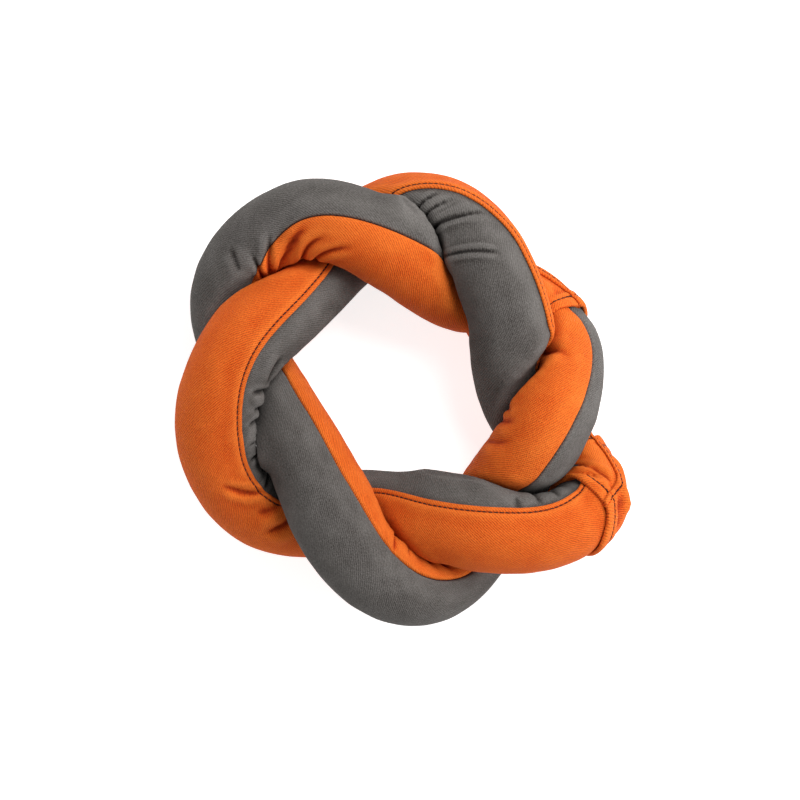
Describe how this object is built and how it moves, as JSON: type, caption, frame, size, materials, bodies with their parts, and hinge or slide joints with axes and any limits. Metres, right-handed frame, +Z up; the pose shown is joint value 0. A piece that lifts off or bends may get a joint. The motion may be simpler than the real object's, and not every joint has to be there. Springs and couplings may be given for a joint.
{
  "type": "dog training bumper ring",
  "caption": "Soft ring-shaped dog training bumper of two linked, stuffed canvas tubes wound round each other, lying flat.",
  "frame": {"origin": "middle of the underside: the middle of the ring's box in plan, at the height of the surface it lies on", "axes": "+Z up, out of the ring's flat side; +X towards the joining sleeve of ring 2, +Y towards the crossing above the joining sleeve of ring 1"},
  "size_m": [0.249, 0.2502, 0.0805],
  "materials": {
    "orange_canvas": "matt orange twill canvas",
    "grey_canvas": "matt warm dark grey twill canvas",
    "sleeve_canvas": "matt orange twill canvas, lighter weight",
    "dark_thread": "dark twisted polyester sewing thread",
    "stuffing": "white polyester fibre filling"
  },
  "bodies": {
    "ring_1": {"ring_1_stuffing_core": "stuffing", "ring_1_orange_panel": "orange_canvas", "ring_1_grey_panel": "grey_canvas", "ring_1_top_seam_thread": "dark_thread", "ring_1_under_seam_thread": "dark_thread", "ring_1_joining_sleeve": "sleeve_canvas", "ring_1_sleeve_seam_thread": "dark_thread", "ring_1_sleeve_start_hem_thread": "dark_thread", "ring_1_sleeve_end_hem_thread": "dark_thread"},
    "ring_2": {"ring_2_stuffing_core": "stuffing", "ring_2_orange_panel": "orange_canvas", "ring_2_grey_panel": "grey_canvas", "ring_2_top_seam_thread": "dark_thread", "ring_2_under_seam_thread": "dark_thread", "ring_2_joining_sleeve": "sleeve_canvas", "ring_2_sleeve_seam_thread": "dark_thread", "ring_2_sleeve_start_hem_thread": "dark_thread", "ring_2_sleeve_end_hem_thread": "dark_thread"}
  },
  "joints": [
    {"name": "ring_2_turn", "type": "hinge", "parent": "ring_1", "child": "ring_2", "pos_m": [0, 0, 0], "axis": [0, 0, 1], "range_deg": [-2, 2]}
  ]
}
